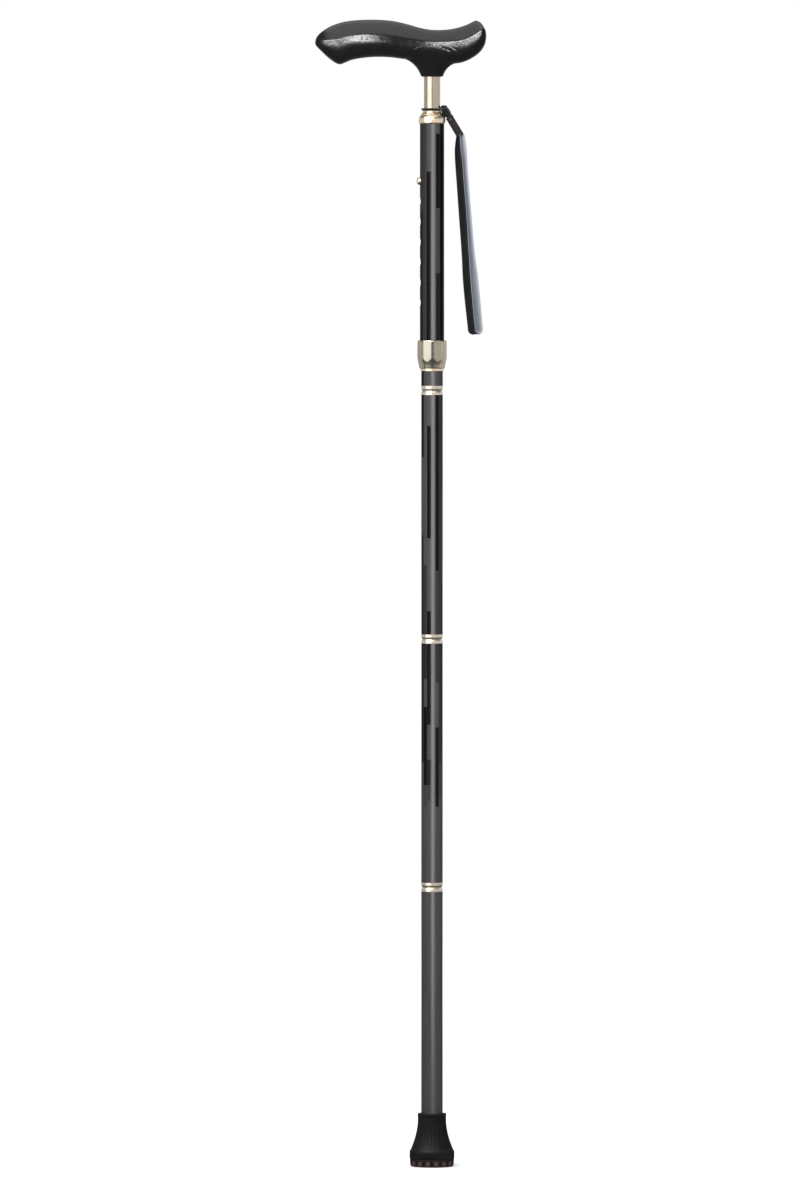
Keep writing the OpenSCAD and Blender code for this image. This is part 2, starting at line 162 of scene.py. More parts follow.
# ---- shader helper
class Paint:
    """A Principled material that is built up one node at a time."""

    def __init__(self, name, sockets):
        self.material = bpy.data.materials.new(name)
        self.material.use_nodes = True
        self.tree = self.material.node_tree
        self.tree.nodes.clear()
        self.shader = self.node("BsdfPrincipled", sockets)
        out = self.node("OutputMaterial")
        self.tree.links.new(self.shader.outputs[0], out.inputs[0])
        self.coords = self.node("TexCoord").outputs["Object"]

    def node(self, kind, inputs=None, **settings):
        made = self.tree.nodes.new("ShaderNode" + kind)
        for key, value in settings.items():
            setattr(made, key, value)
        self.feed(made, inputs or {})
        return made

    def feed(self, node, inputs):
        """Sets sockets of a node, each to a value or to what another node gives."""
        for key, value in inputs.items():
            if isinstance(value, bpy.types.NodeSocket):
                self.tree.links.new(value, node.inputs[key])
            else:
                node.inputs[key].default_value = value

    def finished(self, colour, roughness, normal):
        self.feed(self.shader, {"Base Color": colour, "Roughness": roughness, "Normal": normal})
        return self.material

    def calc(self, operation, *values):
        return self.node("Math", dict(enumerate(values)), operation=operation).outputs[0]

    def times(self, a, b):
        return self.calc("MULTIPLY", a, b)

    def wave(self, value, pitch):
        """A sine that repeats once in every pitch."""
        return self.calc("SINE", self.times(value, 2 * math.pi / pitch))

    def mix(self, share, a, b):
        return self.node("Mix", {0: share, 6: a, 7: b}, data_type="RGBA").outputs[2]

    def fit(self, value, low, high, to_low=0.0, to_high=1.0, smooth=False):
        kind = "SMOOTHSTEP" if smooth else "LINEAR"
        inputs = {"Value": value, "From Min": low, "From Max": high, "To Min": to_low, "To Max": to_high}
        return self.node("MapRange", inputs, interpolation_type=kind).outputs["Result"]

    def stretched(self, scale, turn=(0, 0, 0)):
        """The object's coordinates, scaled and then turned."""
        return self.node("Mapping", {"Vector": self.coords, "Rotation": turn, "Scale": scale}).outputs[0]

    def noise(self, scale, detail=2.0, roughness=0.5, coords=None, distortion=0.0):
        inputs = {"Vector": self.coords if coords is None else coords, "Scale": scale, "Detail": detail,
                  "Roughness": roughness, "Distortion": distortion}
        return self.node("TexNoise", inputs).outputs["Fac"]

    def cells(self, scale, coords=None):
        """Distance to the nearest of many scattered points, smoothed between them."""
        inputs = {"Vector": self.coords if coords is None else coords, "Scale": scale}
        return self.node("TexVoronoi", inputs, feature="SMOOTH_F1").outputs["Distance"]

    def axes(self):
        made = self.node("SeparateXYZ", {0: self.coords})
        return made.outputs[0], made.outputs[1], made.outputs[2]

    def bump(self, height, depth, strength=1.0, under=None):
        inputs = {"Height": height, "Distance": depth, "Strength": strength}
        if under is not None:
            inputs["Normal"] = under
        return self.node("Bump", inputs).outputs[0]


def rgb(red, green, blue):
    """A colour given as the 0 to 255 values of a display, for the shader's linear sockets."""
    shares = [c / 255 for c in (red, green, blue)]
    return tuple(pow((c + 0.055) / 1.055, 2.4) if c > 0.04 else c / 12.92 for c in shares) + (1,)


# ---- finishes
TOOL_RING_PITCH = 0.00022


def polished_metal(name, colour, dark, rough, tooled=False):
    """Plated metal, with faint clouding, hairline scratches and, where it is tooled, fine rings."""
    paint = Paint(name, {"Metallic": 1.0})
    cloud = paint.noise(90, 3, 0.6)
    hairs = paint.noise(900, 2, 0.7, paint.stretched((1, 1, 0.06)))
    smear = paint.noise(160, 4, 0.65)
    scratched = paint.fit(hairs, 0.45, 0.75, 0, 0.07)
    worn = paint.calc("ADD", scratched, paint.fit(smear, 0.4, 0.7, rough, rough + 0.06))
    normal = paint.bump(hairs, 0.000006)
    if tooled:
        normal = paint.bump(paint.wave(paint.axes()[2], TOOL_RING_PITCH), 0.0000009, under=normal)
    return paint.finished(paint.mix(paint.fit(cloud, 0.35, 0.7), colour, dark), worn, normal)


def brushed_steel():
    paint = Paint("brushed_steel", {"Metallic": 1.0})
    grain = paint.noise(2600, 2, 0.6, paint.stretched((0.08, 1, 1)))
    tone = paint.mix(grain, rgb(150, 153, 158), rgb(196, 199, 203))
    return paint.finished(tone, paint.fit(grain, 0.3, 0.7, 0.24, 0.4), paint.bump(grain, 0.00001))


def moulded_nylon():
    paint = Paint("moulded_nylon", {"Specular IOR Level": 0.4})
    speck = paint.noise(1500, 3, 0.6)
    cloud = paint.noise(60, 2)
    tone = paint.mix(cloud, rgb(46, 47, 50), rgb(62, 63, 67))
    return paint.finished(tone, paint.fit(speck, 0.3, 0.7, 0.45, 0.62), paint.bump(speck, 0.00003))


COLUMNS = 16  # columns of bars round a tube, numbered from the camera's side towards its right
COLUMN_START = math.radians(-4.5)
FRONT_COLUMNS = (12, 13, 14, 15, 0, 1, 2, 3)


def tube_finish(name, bars):
    """Satin lacquer with upright bars: each bar is (column round the tube, low end, high end, darkness)."""
    paint = Paint(name, {"Specular IOR Level": 0.46})
    x, y, z = paint.axes()
    turn = paint.calc("ARCTAN2", x, paint.times(y, -1.0))
    place = paint.calc("DIVIDE", paint.calc("SUBTRACT", turn, COLUMN_START), 2 * math.pi / COLUMNS)
    place = paint.calc("FLOORED_MODULO", place, float(COLUMNS))
    column = paint.calc("FLOOR", place)
    dark = 0.0
    for number, low, high, darkness in bars:
        here = paint.calc("COMPARE", column, float(number), 0.4)
        level = paint.calc("COMPARE", z, (low + high) / 2 * MM, (high - low) / 2 * MM)
        dark = paint.calc("MAXIMUM", dark, paint.times(paint.times(here, level), darkness))
    grain = paint.noise(700, 3, 0.6, paint.stretched((1, 1, 0.03)))
    fleck = paint.noise(5200, 2, 0.5)
    cloud = paint.noise(40, 2, 0.5, paint.stretched((1, 1, 0.3)))
    ground = paint.mix(cloud, rgb(43, 41, 42), rgb(49, 48, 49))
    ground = paint.mix(paint.fit(grain, 0.35, 0.7, 0, 0.35), ground, rgb(62, 60, 61))
    ground = paint.mix(paint.fit(fleck, 0.62, 0.75, 0, 0.25), ground, rgb(92, 90, 90))
    normal = paint.bump(grain, 0.000008)
    if not bars:
        return paint.finished(ground, paint.fit(grain, 0.3, 0.7, 0.29, 0.35), normal)
    across = paint.calc("FRACT", place)
    ink = paint.mix(paint.fit(across, 0.45, 1.0, 0, 0.8, True), rgb(4, 2, 2), rgb(24, 18, 18))
    raised = paint.bump(dark, 0.000012, 0.6, normal)
    return paint.finished(paint.mix(dark, ground, ink), paint.fit(dark, 0.0, 1.0, 0.32, 0.26), raised)


def hidden_bars(seed, low, high):
    """Bars for the columns that face away from the camera, with lengths like those at the front."""
    pick = random.Random(seed)
    bars = []
    for number in [n for n in range(COLUMNS) if n not in FRONT_COLUMNS]:
        level = low - pick.uniform(0, 60)
        while level < high:
            length = pick.uniform(45, 130)
            darkness = pick.choice((1.0, 1.0, 0.9, 0.62))
            if pick.random() < 0.72 and level + length > low:
                bars.append((number, max(level, low), min(level + length, high), darkness))
            level += length + pick.uniform(0, 55)
    return bars


# Bars on the side that the photo shows, as (column, low end, high end, darkness), in millimetres.
UPPER_BARS = [
    (12, 598, 707, 1.0), (13, 598, 707, 0.95), (12, 722, 773, 1.0), (13, 598, 773, 0.6), (14, 598, 773, 0.5),
    (15, 598, 737, 1.0), (1, 710, 765, 1.0), (1, 662, 710, 0.3), (1, 598, 662, 0.9), (2, 598, 773, 1.0),
    (3, 598, 773, 1.0),
]
SLIDING_BARS = [
    (12, 578, 660, 1.0), (13, 578, 655, 1.0), (15, 610, 690, 1.0), (3, 578, 640, 1.0),
    (1, 610, 742, 0.9), (2, 650, 742, 0.6), (13, 690, 742, 0.9), (14, 640, 710, 0.6),
]
SECOND_BARS = [
    (12, 526, 573, 1.0), (13, 526, 573, 1.0), (12, 394, 468, 0.8), (13, 394, 468, 0.75), (14, 394, 446, 0.55),
    (15, 466, 549, 1.0), (15, 394, 412, 1.0), (1, 442, 573, 1.0), (1, 394, 442, 0.45), (3, 394, 433, 0.95),
    (3, 500, 573, 1.0), (2, 394, 573, 0.5),
]
THIRD_BARS = [
    (12, 283, 388, 0.9), (13, 300, 388, 0.85), (14, 362, 388, 0.75), (14, 283, 341, 1.0),
    (15, 328, 388, 0.95), (15, 283, 302, 0.8), (1, 359, 388, 0.55), (1, 267, 326, 0.95), (2, 300, 388, 0.6),
    (3, 310, 388, 0.6), (14, 267, 283, 0.3), (15, 272, 283, 0.35), (2, 275, 300, 0.25), (12, 270, 283, 0.4),
]


def leather_finish():
    """Smooth black leather: pebbled grain, faint wrinkles and a hand's polish."""
    paint = Paint("grip_leather_finish", {"Specular IOR Level": 0.55})
    warp = paint.times(paint.noise(220, 2, 0.5), 0.0012)
    shift = paint.node("CombineXYZ", {0: warp, 1: warp, 2: warp}).outputs[0]
    bent = paint.node("VectorMath", {0: paint.coords, 1: shift}, operation="ADD").outputs[0]
    pebble = paint.cells(1150, bent)
    pores = paint.noise(3800, 3, 0.6)
    wrinkle = paint.noise(150, 4, 0.7, distortion=0.6)
    tone = paint.mix(paint.fit(wrinkle, 0.35, 0.7), rgb(14, 14, 16), rgb(20, 20, 23))
    tone = paint.mix(paint.fit(pebble, 0.2, 0.75, 0, 0.5), tone, rgb(12, 12, 13))
    polish = paint.fit(paint.noise(45, 2, 0.5), 0.35, 0.65, 0.16, 0.22)
    worn = paint.calc("ADD", polish, paint.fit(pores, 0.3, 0.7, 0, 0.04))
    normal = paint.bump(paint.fit(wrinkle, 0.4, 0.6), 0.00006, 0.5)
    normal = paint.bump(paint.times(pebble, -1.0), 0.00005, 0.4, normal)
    return paint.finished(tone, worn, paint.bump(pores, 0.00002, 0.5, normal))


PLY_PITCH = 0.00042


def thread_finish(name, colour, lit):
    """Twisted thread, with its ply running aslant."""
    paint = Paint(name, {"Specular IOR Level": 0.25, "Sheen Weight": 0.3, "Sheen Roughness": 0.4})
    x, y, z = paint.axes()
    ply = paint.wave(paint.calc("ADD", paint.calc("ADD", x, y), paint.times(z, 1.3)), PLY_PITCH)
    fuzz = paint.noise(6000, 2)
    # Painted highlight: the raised ply takes the lighter, lit colour.
    tone = paint.mix(paint.fit(paint.calc("ADD", ply, fuzz), -0.6, 1.6), colour, lit)
    return paint.finished(tone, paint.fit(fuzz, 0.3, 0.7, 0.6, 0.8), paint.bump(ply, 0.00005, 0.8))


YARNS = 8
BRAID_PITCH = 0.0036


def braid_finish(name, colour, lit):
    """A braided sleeve on a straight upright cord: two sets of yarns that wind opposite ways."""
    paint = Paint(name, {"Specular IOR Level": 0.25, "Sheen Weight": 0.35, "Sheen Roughness": 0.4})
    x, y, z = paint.axes()
    turn = paint.times(paint.calc("ARCTAN2", x, y), float(YARNS))
    climb = paint.times(z, 2 * math.pi / BRAID_PITCH)
    right = paint.calc("SINE", paint.calc("ADD", turn, climb))
    left = paint.calc("SINE", paint.calc("SUBTRACT", turn, climb))
    weave = paint.calc("MAXIMUM", right, left)
    fuzz = paint.noise(5000, 2)
    # Painted highlight: the raised yarns take the lighter, lit colour.
    tone = paint.mix(paint.fit(weave, -0.4, 1.0), colour, lit)
    return paint.finished(tone, paint.fit(fuzz, 0.3, 0.7, 0.62, 0.82), paint.bump(weave, 0.0001, 0.8))


def rubber_finish():
    """Black rubber that is scuffed and dusty near the ground."""
    paint = Paint("tip_rubber_finish", {"Specular IOR Level": 0.35})
    dust = paint.noise(55, 4, 0.65)
    speck = paint.noise(2600, 3, 0.6)
    low = paint.fit(paint.axes()[2], 0.004, 0.026, 1.0, 0.0, True)
    tone = paint.mix(paint.fit(dust, 0.35, 0.7), rgb(13, 14, 14), rgb(20, 21, 21))
    scuff = paint.times(paint.fit(dust, 0.5, 0.72, 0, 0.5), low)
    tone = paint.mix(scuff, tone, rgb(44, 41, 44))
    rough = paint.fit(paint.calc("ADD", dust, speck), 0.7, 1.3, 0.48, 0.7)
    return paint.finished(tone, rough, paint.bump(dust, 0.00015, 0.3, paint.bump(speck, 0.00004, 0.6)))


def tread_finish():
    """Brown rubber, with painted light that makes the faces of its teeth paler than the notches between them.
    """
    paint = Paint("tread_rubber_finish", {"Specular IOR Level": 0.3})
    dust = paint.noise(180, 4, 0.7)
    speck = paint.noise(2200, 3, 0.6)
    x, y, z = paint.axes()
    wave = paint.calc("COSINE", paint.times(paint.calc("ARCTAN2", y, x), float(TEETH)))
    foot = paint.fit(z, 0.0045, 0.0035, 0, 1, True)
    # Painted light: the faces of the teeth are made paler than the notches between them.
    worn = paint.times(paint.fit(wave, 0.3, -0.6, 0, 1, True), foot)
    tone = paint.mix(paint.fit(dust, 0.35, 0.65), rgb(30, 17, 18), rgb(46, 29, 30))
    tone = paint.mix(worn, tone, rgb(76, 58, 59))
    tone = paint.mix(paint.fit(speck, 0.55, 0.8, 0, 0.4), tone, rgb(66, 50, 50))
    return paint.finished(tone, paint.fit(dust, 0.3, 0.7, 0.62, 0.84), paint.bump(speck, 0.00006, 0.7))


def strap_leather_finish():
    """Dark brown leather with a coarse, rubbed grain."""
    paint = Paint("strap_leather_finish", {"Specular IOR Level": 0.45})
    grain = paint.cells(1500)
    rubbed = paint.noise(900, 4, 0.7)
    tone = paint.mix(paint.fit(grain, 0.15, 0.7), rgb(46, 31, 29), rgb(9, 6, 6))
    tone = paint.mix(paint.fit(rubbed, 0.45, 0.65, 0, 0.6), tone, rgb(24, 18, 17))
    normal = paint.bump(paint.times(grain, -1.0), 0.00014, 0.8)
    return paint.finished(tone, paint.fit(rubbed, 0.35, 0.65, 0.42, 0.62), normal)


WARP_PITCH = 0.00045
WEFT_PITCH = 0.0006


def ribbon_finish(name, colour, lit, rough):
    """Woven ribbon: ribs run across the band and fine warp threads along it."""
    paint = Paint(name, {"Specular IOR Level": 0.25, "Sheen Weight": 0.06, "Sheen Roughness": 0.4})
    local = paint.node("SeparateXYZ", {0: paint.stretched((1, 1, 1), (0, 0, -BAND_TURN))})
    weave = paint.times(paint.wave(local.outputs[0], WARP_PITCH), paint.wave(local.outputs[2], WEFT_PITCH))
    fuzz = paint.noise(3000, 3, 0.6)
    blotch = paint.noise(70, 2)
    # Painted highlight: where the weave is raised it takes the lighter, lit colour.
    tone = paint.mix(paint.fit(weave, -1.0, 1.0), colour, lit)
    tone = paint.mix(paint.fit(blotch, 0.3, 0.7, 0, 0.3), tone, colour)
    worn = paint.fit(fuzz, 0.3, 0.7, rough, rough + 0.14)
    return paint.finished(tone, worn, paint.bump(weave, 0.00006, 0.7))


# ---- mesh helpers
def add_mesh(name, points, faces):
    """A smooth-shaded object whose faces all look outwards."""
    mesh = bpy.data.meshes.new(name)
    mesh.from_pydata([tuple(p) for p in points], [], faces)
    work = bmesh.new()
    work.from_mesh(mesh)
    bmesh.ops.recalc_face_normals(work, faces=work.faces)
    work.to_mesh(mesh)
    work.free()
    mesh.polygons.foreach_set("use_smooth", [True] * len(mesh.polygons))
    piece = bpy.data.objects.new(name, mesh)
    bpy.context.scene.collection.objects.link(piece)
    return piece


def skin(rings, start, loop):
    """Points and faces of a skin over rings that all hold the same number of points."""
    count = len(rings[0])
    points = [p for ring in rings for p in ring]
    faces = []
    for i in range(len(rings) if loop else len(rings) - 1):
        a, b = start + i * count, start + (i + 1) % len(rings) * count
        faces += [(a + j, a + (j + 1) % count, b + (j + 1) % count, b + j) for j in range(count)]
    if not loop:
        last = start + len(points) - count
        faces.append(tuple(range(start, start + count)))
        faces.append(tuple(range(last, last + count)))
    return points, faces


def join_skins(name, skins):
    """One mesh from several lists of rings; each entry is (rings, loop)."""
    points, faces = [], []
    for rings, loop in skins:
        new_points, new_faces = skin(rings, len(points), loop)
        points += new_points
        faces += new_faces
    return add_mesh(name, points, faces)


def baked(piece):
    """Applies a piece's modifiers to its mesh."""
    bpy.context.view_layer.update()
    graph = bpy.context.evaluated_depsgraph_get()
    mesh = bpy.data.meshes.new_from_object(piece.evaluated_get(graph))
    piece.modifiers.clear()
    piece.data = mesh
    return piece


def places_and_normals(piece):
    """Where each vertex is and which way it faces, as two arrays."""
    found = []
    for kind in ("co", "normal"):
        flat = np.empty(len(piece.data.vertices) * 3)
        piece.data.vertices.foreach_get(kind, flat)
        found.append(flat.reshape(-1, 3))
    return found


def move_vertices(piece, places):
    piece.data.vertices.foreach_set("co", places.ravel())
    piece.data.update()


def spline(points, closed=False):
    """A smooth curve through the points, as a function of shares of its length."""
    given = np.array(points, float)
    n = len(given)
    if closed:
        padded = np.vstack([given[-1:], given, given[:2]])
    else:
        padded = np.vstack([2 * given[:1] - given[1:2], given, 2 * given[-1:] - given[-2:-1]])
    spans = n if closed else n - 1
    fine = []
    for i in range(spans):
        p0, p1, p2, p3 = padded[i:i + 4]
        t = np.linspace(0, 1, 24, endpoint=False)[:, None]
        fine.append(0.5 * (2 * p1 + (p2 - p0) * t + (2 * p0 - 5 * p1 + 4 * p2 - p3) * t ** 2
                           + (3 * p1 - p0 - 3 * p2 + p3) * t ** 3))
    fine.append(given[:1] if closed else given[-1:])
    fine = np.vstack(fine)
    steps = np.linalg.norm(np.diff(fine, axis=0), axis=1)
    run = np.concatenate([[0], np.cumsum(steps)]) / steps.sum()
    return lambda shares: np.stack([np.interp(shares, run, fine[:, k]) for k in range(given.shape[1])], -1)


def along(line, x):
    """The smooth curve through a line's points that part.scad uses, at x."""
    xs, ys = [p[0] for p in line], [p[1] for p in line]
    last = len(line) - 1
    i = min(max(sum(x >= v for v in xs) - 1, 0), last - 1)
    slope = [(ys[min(k + 1, last)] - ys[max(k - 1, 0)]) / (xs[min(k + 1, last)] - xs[max(k - 1, 0)])
             for k in (i, i + 1)]
    w = xs[i + 1] - xs[i]
    t = (x - xs[i]) / w
    return ((1 + 2 * t) * (1 - t) ** 2 * ys[i] + t * (1 - t) ** 2 * w * slope[0]
            + t * t * (3 - 2 * t) * ys[i + 1] + t * t * (t - 1) * w * slope[1])


def sweep(path, radius, sides, loop=False):
    """Rings round a path. Radius is a number or a function of (share of the path, angle)."""
    path = [Vector(p) for p in path]
    n = len(path)
    rings, side = [], None
    for i, here in enumerate(path):
        ahead = path[(i + 1) % n] if loop or i < n - 1 else here
        behind = path[i - 1] if loop or i > 0 else here
        tangent = (ahead - behind).normalized()
        if side is None:
            side = tangent.orthogonal().normalized()
        side = (side - tangent * side.dot(tangent)).normalized()
        up = tangent.cross(side)
        ring = []
        for j in range(sides):
            angle = 2 * math.pi * j / sides
            r = radius(i / n, angle) if callable(radius) else radius
            ring.append(here + (side * math.cos(angle) + up * math.sin(angle)) * r)
        rings.append(ring)
    return rings


def turned(profile, segments, shape=None):
    """Rings of a turned shape about Z; shape(radius, height, angle) may change each radius."""
    rings = []
    for radius, height in profile:
        ring = []
        for j in range(segments):
            angle = 2 * math.pi * j / segments
            r = shape(radius, height, angle) if shape else radius
            ring.append((r * math.cos(angle), r * math.sin(angle), height))
        rings.append(ring)
    return rings


def finish_piece(piece, body, slot, materials, *nodes):
    """Gives a made piece its finish and its body, and hides the CAD nodes that it stands for. Its slot is not
    used.
    """
    for material in materials:
        piece.data.materials.append(material)
    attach(piece, body)
    if nodes:
        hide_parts(*nodes)
    return piece


# ---- handle
GRIP_LOW, GRIP_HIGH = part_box("grip_cover")
GRIP_BOTTOM = GRIP_LOW.z / MM
GRIP_HALF_WIDTH = GRIP_HIGH.y / MM
# Side outline of the handle, in millimetres from the shaft's axis and from the collar's bottom.
TOP_OUTLINE = [(-86.6, 24.4), (-86, 28), (-83.4, 31.8), (-77.3, 36.2), (-70.4, 39.2), (-61.5, 41.3),
               (-50, 42.2), (-38, 42.1), (-27.8, 41.1), (-17.8, 38.8), (-9.9, 36.5), (-3, 35.1), (4, 34.6),
               (11.8, 35), (18.8, 36.3), (25.8, 38.6), (30.4, 40.9), (33, 41.6), (36.6, 39.4), (39.4, 34.8),
               (40.3, 29.2)]
BOTTOM_OUTLINE = [(-86.6, 24.4), (-85.4, 22.4), (-81.3, 18.2), (-77.3, 14.4), (-72.4, 10.8), (-68.4, 9.1),
                  (-64.5, 10.3), (-59.5, 12.3), (-51.6, 13.8), (-41.7, 14.6), (-30.8, 14.3), (-20, 13),
                  (-4, 11.6), (10, 10), (18.8, 9.9), (24.7, 11.4), (30.7, 14.4), (35.7, 18.4), (39, 23.4),
                  (40.3, 29.2)]
# Half width along the handle, as shares of its length and of its widest place.
PLAN = [(0, 0.0), (0.015, 0.27), (0.05, 0.55), (0.1, 0.79), (0.17, 0.94), (0.27, 1.0), (0.38, 0.975),
        (0.5, 0.87), (0.61, 0.765), (0.69, 0.735), (0.76, 0.76), (0.84, 0.84), (0.88, 0.855), (0.94, 0.755),
        (0.975, 0.53), (0.99, 0.33), (1, 0.0)]
# Half of the cross-section from the crown to the underside: shares of half width and of height.
RIDGE = 0.6
SECTION = [(0, 1.0), (0.2, 0.98), (0.4, 0.915), (0.6, 0.815), (0.76, 0.715), (0.85, 0.65), (0.882, 0.615),
           (0.9, 0.575), (0.938, 0.505), (0.97, 0.44), (0.99, 0.38), (1.0, 0.31), (0.98, 0.2), (0.84, 0.09),
           (0.5, 0.02), (0, 0)]
# Height of the ridge along the handle: it runs up to the crown at the short end.
RIDGE_RUN = [(0, 0.5), (0.08, 0.55), (0.3, 0.575), (0.52, 0.53), (0.68, 0.6), (0.77, 0.59), (0.86, 0.56),
             (0.9, 0.62), (0.925, 0.8), (0.95, 0.93), (1, 0.95)]
GRIP_VOXEL = 0.00055
CORE_RIDGE = 0.45
CORE_SQUEEZE = 0.75  # the core's top and its bottom each move in by this much of its shrinking


def grip_rings(shrink=1.0, stations=150, around=72):
    """Rings of the handle's body. Shrink makes the core, which lies inside it."""
    top, bottom = spline(TOP_OUTLINE), spline(BOTTOM_OUTLINE)
    half = SECTION + [(-y, h) for y, h in reversed(SECTION[1:-1])]
    outline = spline(half, closed=True)(np.arange(around) / around)
    rings = []
    for i in range(1, stations):
        share = (1 - math.cos(math.pi * i / stations)) / 2
        high, low = top(np.array([share]))[0], bottom(np.array([share]))[0]
        inward = (1 - shrink) * CORE_SQUEEZE * (high - low)
        high, low = high - inward, low + inward
        width = max(along(PLAN, share), 0.02) * GRIP_HALF_WIDTH * shrink
        ridge = along(RIDGE_RUN, share) if shrink == 1 else CORE_RIDGE
        ring = []
        for across, level in outline:
            above = max(level - RIDGE, 0) / (1 - RIDGE)
            level = ridge + above * (1 - ridge) if above else level / RIDGE * ridge
            x, z = low + (high - low) * level
            ring.append((x * shrink * MM, across * width * MM, (GRIP_BOTTOM + z) * MM))
        rings.append(ring)
    return rings


def bezier(points, t):
    a, b, c, d = (np.array(p, float) for p in points)
    return a * (1 - t) ** 3 + 3 * b * t * (1 - t) ** 2 + 3 * c * t * t * (1 - t) + d * t ** 3


# Profiles of the collar as (radius, height): towards the long arm, the short arm and the sides.
COLLAR_LONG = [(8.2, 0.5), (10.9, 7.2), (15.2, 13.2), (27, 14.8)]
COLLAR_SHORT = [(8.2, 0.5), (9.7, 4.6), (12, 9.2), (21, 11)]
COLLAR_SIDE = [(8.2, 0.5), (8.6, 4.5), (8.9, 9), (9.3, 15)]


def above_collar(rings):
    """Rings in the object's frame, from rings in millimetres above the collar's bottom."""
    return [[(x * MM, y * MM, (GRIP_BOTTOM + z) * MM) for x, y, z in ring] for ring in rings]


def collar_rings():
    """Rings of the collar, which flares from a round foot into the handle's arms."""
    around, steps = 72, 26
    rings = turned([(7.1, 0.0), (7.7, 0.12)], around)
    for i in range(steps + 1):
        t = i / steps
        arm_long, arm_short, side = (bezier(p, t) for p in (COLLAR_LONG, COLLAR_SHORT, COLLAR_SIDE))
        ring = []
        for j in range(around):
            angle = 2 * math.pi * j / around
            c, s = math.cos(angle), math.sin(angle)
            arm = arm_short if c > 0 else arm_long
            radius = 1 / math.hypot(c / arm[0], s / side[0])
            height = arm[1] * c * c + side[1] * s * s
            ring.append((radius * c, radius * s, height))
        rings.append(ring)
    rings.append([(0.5 * x, 0.5 * y, z + 4) for x, y, z in rings[-1]])
    return above_collar(rings)


def crease(places, normals, centre, direction, length, width, depth):
    """Presses a short groove into the skin, with its length along the given direction."""
    centre, direction = np.array(centre) * MM, np.array(direction, float)
    direction /= np.linalg.norm(direction)
    away = places - centre
    lengthwise = away @ direction
    sideways = np.linalg.norm(away - np.outer(lengthwise, direction), axis=1)
    fade = np.exp(-(lengthwise / (length * MM)) ** 2) * np.exp(-(sideways / (width * MM)) ** 2)
    return places - normals * (fade * depth * MM)[:, None]


def make_grip_core():
    """The alloy core under the skin, with the socket that takes the neck post."""
    profile = [(NECK_R, 1.2), (7.1, 1.2), (7.3, 1.5), (7.3, 15), (8.5, 18), (5, 20), (NECK_R, 18)]
    skins = [(grip_rings(0.8, 60, 48), False), (above_collar(turned(profile, 72)), True)]
    core = join_skins("grip_core_casting", skins)
    finish = polished_metal("core_alloy", rgb(120, 118, 114), rgb(96, 94, 92), 0.45)
    return finish_piece(core, "upper_shaft", "grip_core", [finish], "grip_core")


def relax(piece, rounds, group=""):
    """Adds a modifier that smooths the piece, or the part of it that is in the vertex group."""
    smoother = piece.modifiers.new("relax", "SMOOTH")
    smoother.factor, smoother.iterations, smoother.vertex_group = 0.5, rounds, group


def fillet_shares(places):
    """How strongly each place is smoothed: most in the hollow where the collar meets the arms."""
    reach = np.hypot(places[:, 0] * 0.8, places[:, 1]) / MM
    level = places[:, 2] / MM - GRIP_BOTTOM
    inside = np.clip(1.4 - reach / 17, 0, 1)
    return inside * np.clip(level / 3 - 0.4, 0, 1) * np.clip((25 - level) / 8, 0, 1)


# Creases on either side, in millimetres: (x, y, height above the collar's bottom), direction, length,
# width and depth.
CREASES = [
    ((-51, 14, 30), (0.25, 0, 1), 2.6, 0.7, 0.35),
    ((-47.6, 14, 29.4), (-0.2, 0, 1), 1.8, 0.6, 0.2),
    ((-12, 10.5, 17), (1, 0, 0.55), 5, 0.8, 0.35),
    ((-15, 11, 20.5), (1, 0, 0.35), 4, 0.8, 0.25),
    ((9.5, 11, 21), (1, 0, -0.5), 4.5, 0.8, 0.35),
    ((15.5, 11.5, 21.5), (1, 0, -0.75), 4, 0.7, 0.3),
    ((12.5, 11.4, 24.6), (1, 0, 0.25), 3, 0.6, 0.2),
    ((-64, 13.4, 27.5), (0.5, 0, 1), 2.2, 0.6, 0.18),
]


def make_grip():
    """The leather skin: body and collar merged into one, with a soft fillet and creases."""
    grip = join_skins("grip_skin", [(grip_rings(), False), (collar_rings(), False)])
    remesh = grip.modifiers.new("remesh", "REMESH")
    remesh.mode = "VOXEL"
    remesh.voxel_size = GRIP_VOXEL
    relax(grip, 4)
    baked(grip)
    near = fillet_shares(places_and_normals(grip)[0])
    group = grip.vertex_groups.new(name="fillet")
    for index in np.nonzero(near > 0.02)[0]:
        group.add([int(index)], float(near[index]), "REPLACE")
    relax(grip, 45, "fillet")
    baked(grip)
    places, normals = places_and_normals(grip)
    for side in (-1, 1):
        for (x, y, z), direction, length, width, depth in CREASES:
            centre = (x, side * y, GRIP_BOTTOM + z)
            places = crease(places, normals, centre, direction, length, width, depth)
    move_vertices(grip, places)
    return finish_piece(grip, "upper_shaft", "grip_leather", [leather_finish()], "grip_cover")


# ---- turned metal
NECK_R = 6.05
# Outside of the ferrule, as (radius, height above the upper tube): a bulb, a groove and a waisted ring.
FERRULE_BULB = [(8.95, 0), (9.4, 0.15), (9.72, 0.8), (9.88, 1.8), (9.88, 2.8), (9.72, 3.9), (9.4, 4.9),
                (8.9, 5.8), (8.35, 6.45), (8.0, 6.75)]
FERRULE_RING = [(7.78, 6.85), (7.68, 7.0), (7.72, 7.16), (7.92, 7.26), (7.9, 7.45), (7.5, 7.75), (7.02, 8.1),
                (6.8, 8.45), (6.76, 8.75), (6.84, 9.05), (6.86, 9.3), (6.7, 9.5), (6.4, 9.6)]


